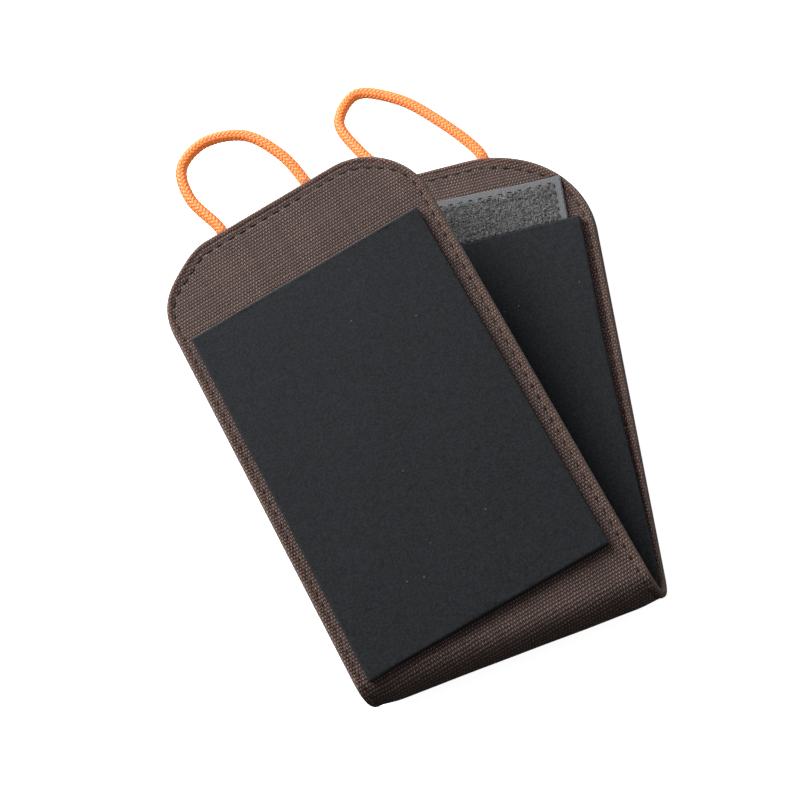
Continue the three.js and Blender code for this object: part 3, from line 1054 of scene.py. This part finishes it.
FABRIC_THREADS = (0.37, 0.78)  # distance between threads, across and along
TAPE_THREADS = (0.42, 0.42)


def plain_weave(finish, across, along, pitch_across, pitch_along):
    """Height of a plain weave from 0 in the gaps to 1 on the crowns, each thread's tone, and
    where the weft lies over the warp."""
    a = finish.math("DIVIDE", across, pitch_across)
    b = finish.math("DIVIDE", along, pitch_along)
    column, row = finish.math("FLOOR", a), finish.math("FLOOR", b)

    def thread(over, centre, index, sign):
        bulge = finish.math("ABSOLUTE", finish.math("SINE", finish.times(centre, math.pi)))
        travel = finish.times(finish.math("ADD", over, index), math.pi)
        rise = finish.scaled(finish.math("SINE", travel), 0.5 * sign, 0.5)
        return finish.times(finish.math("POWER", bulge, 0.7), rise)

    def thread_tone(index):
        return finish.node("TexWhiteNoise", "Value", {"noise_dimensions": "1D"}, W=index)

    warp = thread(b, a, column, 1)
    weft = thread(a, b, row, -1)
    weft_shows = finish.math("GREATER_THAN", weft, warp)
    tones = {"Factor": weft_shows, "A": thread_tone(column), "B": thread_tone(row)}
    tone = finish.node("Mix", "Result", {"data_type": "FLOAT"}, **tones)
    return finish.math("MAXIMUM", warp, weft), tone, weft_shows


def woven_brown():
    finish = Finish("brown_fabric", 0.78, 0.25, Sheen_Weight=0.12, Sheen_Roughness=0.5)
    whole, across, along = finish.strip()
    drift = finish.noise(whole, 0.35)
    across = finish.scaled(drift, 0.5, across)
    along = finish.scaled(drift, -0.5, along)
    height, tone, weft_shows = plain_weave(finish, across, along, *FABRIC_THREADS)
    fuzz = finish.noise(whole, 4.5, 3.0)
    patches = finish.noise(whole, 0.09)
    edge = finish.attribute("edge")
    hem = finish.math("SUBTRACT", 1.0, finish.fade(edge, 1.4, 2.6))
    # painted shade and highlight: the weave's gaps are coloured nearly black for the shade between threads,
    # and its crowns light
    gap, crown = (0.004, 0.002, 0.002), (0.245, 0.157, 0.136)
    # near the hem the weave is coloured warmer and lighter, with the same painted shade in its gaps and
    # painted highlight on its crowns
    hem_gap, hem_crown = (0.014, 0.008, 0.007), (0.370, 0.190, 0.136)
    lift = finish.math("POWER", height, 2.2)
    flat = finish.mix(lift, gap, crown)
    hem_weave = finish.mix(lift, hem_gap, hem_crown)
    colour = finish.mix(finish.times(hem, 0.45), flat, hem_weave)
    # painted highlight: a light grey line along the fabric's rounded outer edge, for the light that it
    # catches
    painted_rim_highlight = finish.fade(edge, 0.9, 0.35)
    colour = finish.mix(finish.times(painted_rim_highlight, 0.45), colour, (0.230, 0.185, 0.165))
    level = finish.scaled(tone, 0.5, 0.85)
    # painted highlight: where the threads along the strip show, they are coloured lighter than the weft,
    # for the light they catch; fuzz and patches are the fabric's own uneven tone
    for pattern, factor, added in ((weft_shows, -0.75, 1.3), (fuzz, 0.9, 0.55), (patches, 0.4, 0.8)):
        level = finish.times(level, finish.scaled(pattern, factor, added))
    finish.colour(finish.vector_scale(colour, level))
    finish.bump(finish.math("ADD", height, finish.times(fuzz, 0.35)), 0.2)
    return finish.material


def black_foam():
    finish = Finish("black_pad", 0.82, 0.18)
    place = finish.place()
    fine = finish.noise(place, 2.1)
    mottle = finish.noise(place, 0.7, 3.0)
    clouds = finish.noise(place, 0.05)
    dark, light = (0.0015, 0.0020, 0.0035), (0.0320, 0.0335, 0.0380)
    grain = finish.times(finish.fade(fine, 0.34, 0.66), 0.55)
    base = finish.mix(finish.scaled(mottle, 0.4, grain), dark, light)
    base = finish.mix(finish.times(clouds, 0.25), base, (0.0150, 0.0175, 0.0205))
    # painted highlight: the pad's bevelled rim is coloured lighter grey, for the light that its edge
    # catches
    rim = finish.fade(finish.attribute("edge"), 0.5, 0.1)
    base = finish.mix(finish.times(rim, 0.5), base, (0.045, 0.046, 0.050))
    cells = finish.tree.nodes.new("ShaderNodeTexVoronoi")
    finish.set(cells, "Vector", place)
    finish.set(cells, "Scale", 0.28)
    near = finish.math("LESS_THAN", cells.outputs["Distance"], 0.05)
    red = finish.node("SeparateColor", "Red", Color=cells.outputs["Color"])
    speck = finish.times(near, finish.math("GREATER_THAN", red, 0.8))
    finish.colour(finish.mix(finish.times(speck, 0.35), base, (0.30, 0.30, 0.31)))
    finish.set(finish.surface, "Roughness", finish.scaled(fine, 0.25, 0.68))
    finish.bump(fine, 0.09, 0.7)
    return finish.material


def loop_weave():
    finish = Finish("loop_tape", 0.9, 0.2, Sheen_Weight=0.15)
    whole, across, along = finish.strip()
    field = finish.fade(finish.attribute("inset"), SELVAGE - 0.1, SELVAGE + 0.5)
    height = plain_weave(finish, across, along, *TAPE_THREADS)[0]
    tangle = finish.noise(whole, 1.7, 4.0)
    contrast = finish.fade(tangle, 0.35, 0.65)
    pile = finish.mix(contrast, (0.040, 0.041, 0.043), (0.17, 0.17, 0.172))
    border = finish.mix(height, (0.11, 0.115, 0.120), (0.20, 0.205, 0.215))
    border = finish.mix(finish.times(contrast, 0.4), border, (0.13, 0.135, 0.14))
    finish.colour(finish.mix(field, border, pile))
    finish.bump(finish.math("ADD", finish.times(height, 0.4), tangle), 0.25, 0.8)
    return finish.material


def loop_fibre():
    finish = Finish("loop_fibre", 0.6, 0.4)
    place = finish.place()
    finish.colour(finish.mix(finish.noise(place, 1.1), (0.11, 0.11, 0.113), (0.34, 0.34, 0.342)))
    finish.bump(finish.noise(place, 9.0, 1.0), 0.03, 0.5)
    return finish.material


def hook_nylon():
    finish = Finish("hook_tape", 0.5, 0.45)
    place = finish.place()
    dark, light = (0.018, 0.018, 0.020), (0.036, 0.036, 0.038)
    finish.colour(finish.mix(finish.noise(place, 1.3, 3.0), dark, light))
    ribs = finish.node("TexWave", "Fac", Vector=place, Scale=1.6, Distortion=1.5, Detail=1.0)
    finish.bump(ribs, 0.06, 0.6)
    return finish.material


def sewing_thread():
    finish = Finish("thread", 0.62, 0.35)
    twist = finish.noise(finish.place(), 6.0)
    sunk = finish.mix(twist, (0.030, 0.018, 0.015), (0.090, 0.055, 0.045))
    plain = finish.mix(twist, (0.010, 0.006, 0.005), (0.030, 0.019, 0.016))
    finish.colour(finish.mix(finish.attribute("dark"), sunk, plain))
    finish.bump(twist, 0.04, 0.8)
    return finish.material


def pressed_felt():
    finish = Finish("interlining", 0.98, 0.1)
    fibre = finish.noise(finish.place(), 2.6, 5.0)
    finish.colour(finish.mix(fibre, (0.34, 0.31, 0.27), (0.60, 0.56, 0.49)))
    finish.bump(fibre, 0.2, 0.7)
    return finish.material


def orange_cord():
    # painted light: the cord glows faintly orange, which lifts and saturates its shaded side
    finish = Finish("cord", 0.55, 0.4, Emission_Strength=0.2, Emission_Color=(1.0, 0.30, 0.04))
    place = finish.place()
    yarn = finish.noise(place, 5.0, 3.0)
    bright = finish.mix(finish.noise(place, 0.15), (1.0, 0.29, 0.095), (1.0, 0.37, 0.170))
    # painted shade: low shade values, in the braid's gaps and on its core, are coloured deep dark orange,
    # and crowns bright orange
    crown = finish.fade(finish.attribute("shade"), 0.35, 0.95)
    body = finish.mix(crown, (0.90, 0.140, 0.004), bright)
    finish.colour(finish.vector_scale(body, finish.scaled(yarn, 0.5, 0.9)))
    finish.bump(yarn, 0.06, 0.6)
    return finish.material


# ---- building the wrap

fabric = woven_brown()
foam = black_foam()
thread = sewing_thread()
felt = pressed_felt()
cord = orange_cord()
hooks = hook_nylon()

for leg_side in (BACK, FRONT):
    for leg_face in (INSIDE, OUTSIDE):
        fabric_layer(leg_side, leg_face, fabric)
        stitched_hem(leg_side, leg_face, thread)
    interlining_layer(leg_side, felt)
    outer_pad(leg_side, foam)
    inner_pad(leg_side, foam)
    braided_cord(leg_side, cord)

for bend_zone in ZONES:
    for zone_face in (INSIDE, OUTSIDE):
        fabric_zone(bend_zone, zone_face, fabric)
        stitched_zone(bend_zone, zone_face, thread)
    interlining_zone(bend_zone, felt)
    inner_pad_zone(bend_zone, foam)

tape_box = tape_base(BACK, "loop_tape", PILE_GRAIN, loop_weave())
loop_pile(*tape_box, loop_fibre())
tape_stitching(BACK, "loop_tape", *tape_box, thread)
tape_box = tape_base(FRONT, "hook_tape", HOOK_GRAIN, hooks)
hook_rows(*tape_box, hooks)
tape_stitching(FRONT, "hook_tape", *tape_box, thread)

for node_name, node_object in frame["nodes"].items():
    if "cord_tail" in node_name:
        node_object.data.materials.clear()
        node_object.data.materials.append(cord)


# ---- floor, light and camera

FLOOR_SIZE = 6.0
FLOOR_GAP = 0.0004


def pale_floor():
    finish = Finish("floor", 0.95, 0.1, Emission_Strength=0.9, Emission_Color=(1.0, 1.0, 1.0))
    cloud = finish.noise(finish.place(), 0.004)
    finish.colour(finish.mix(cloud, (0.90, 0.90, 0.90), (0.92, 0.92, 0.92)))
    half = FLOOR_SIZE / 2
    level = float(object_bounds()[0].z) - FLOOR_GAP
    corners = [(x * half, y * half, level) for x, y in ((-1, -1), (1, -1), (1, 1), (-1, 1))]
    mesh = bpy.data.meshes.new("floor")
    mesh.from_pydata(corners, [], [(0, 1, 2, 3)])
    mesh.materials.append(finish.material)
    floor = bpy.data.objects.new("floor", mesh)
    floor.visible_diffuse = floor.visible_glossy = False  # its glow doesn't reach the wrap
    bpy.context.scene.collection.objects.link(floor)


def direction_to(azimuth, elevation):
    """The direction from the object to a place at an azimuth and elevation round it."""
    a, e = math.radians(azimuth), math.radians(elevation)
    return Vector((math.sin(a) * math.cos(e), -math.cos(a) * math.cos(e), math.sin(e)))


def soft_light(name, azimuth, elevation, distance, size, power, aim):
    """A square soft light at an azimuth and elevation round the object, aimed at its middle."""
    data = bpy.data.lights.new(name, "AREA")
    data.energy = power
    data.size = size
    light = bpy.data.objects.new(name, data)
    bpy.context.scene.collection.objects.link(light)
    towards = direction_to(azimuth, elevation)
    light.location = aim + towards * distance
    light.rotation_mode = "QUATERNION"
    light.rotation_quaternion = towards.to_track_quat("Z", "Y")


SKY_LOW, SKY_HIGH = 0.02, 0.48  # brightness of the dark and the bright side of the studio
BRIGHT_SIDE = Vector((-0.3, 0.75, 0.6)).normalized()


def studio_world():
    """White where the camera sees it. Its light comes from above and behind the wrap."""
    world = bpy.data.worlds.new("studio")
    bpy.context.scene.world = world
    world.use_nodes = True
    tree = world.node_tree
    facing = tree.nodes.new("ShaderNodeVectorMath")
    facing.operation = "DOT_PRODUCT"
    facing.inputs[1].default_value = BRIGHT_SIDE
    sky = tree.nodes.new("ShaderNodeMapRange")
    limits = {"From Min": -0.1, "From Max": 0.9, "To Min": SKY_LOW, "To Max": SKY_HIGH}
    for key, value in limits.items():
        sky.inputs[key].default_value = value
    path = tree.nodes.new("ShaderNodeLightPath")
    strength = tree.nodes.new("ShaderNodeMix")
    strength.inputs[3].default_value = 1.0
    background = tree.nodes["Background"]
    background.inputs["Color"].default_value = (1, 1, 1, 1)
    tree.links.new(tree.nodes.new("ShaderNodeTexCoord").outputs["Generated"], facing.inputs[0])
    tree.links.new(facing.outputs["Value"], sky.inputs["Value"])
    tree.links.new(path.outputs["Is Camera Ray"], strength.inputs[0])
    tree.links.new(sky.outputs["Result"], strength.inputs[2])
    tree.links.new(strength.outputs[0], background.inputs["Strength"])


def studio(aim):
    soft_light("key", 212, 36, 0.6, 0.45, 6.8, aim)
    soft_light("edge_light", 75, 12, 1.6, 1.0, 6, aim)
    studio_world()
    bpy.context.scene.view_settings.view_transform = "Standard"


CAMERA_AZIMUTH, CAMERA_ELEVATION, CAMERA_ROLL = 15.49, 63.51, -35.65
CAMERA_DISTANCE = 0.557
CAMERA_LENS = 110.3
SENSOR_WIDTH = 36
AIM_FROM_MIDDLE = Vector((-0.0064, -0.0108, -0.0018))


def photo_camera(aim):
    data = bpy.data.cameras.new("camera")
    data.lens, data.sensor_width = CAMERA_LENS, SENSOR_WIDTH
    data.clip_start, data.clip_end = 0.05, 20
    camera = bpy.data.objects.new("camera", data)
    bpy.context.scene.collection.objects.link(camera)
    azimuth, roll = math.radians(CAMERA_AZIMUTH), math.radians(CAMERA_ROLL)
    back = direction_to(CAMERA_AZIMUTH, CAMERA_ELEVATION)
    level = Vector((math.cos(azimuth), math.sin(azimuth), 0))
    right = level * math.cos(roll) + back.cross(level) * math.sin(roll)
    turn = Matrix((right, back.cross(right), back)).transposed().to_4x4()
    camera.matrix_world = Matrix.Translation(aim + back * CAMERA_DISTANCE) @ turn
    bpy.context.scene.camera = camera


pale_floor()
middle = (cad_low + cad_high) / 2
studio(middle)
photo_camera(middle + AIM_FROM_MIDDLE)
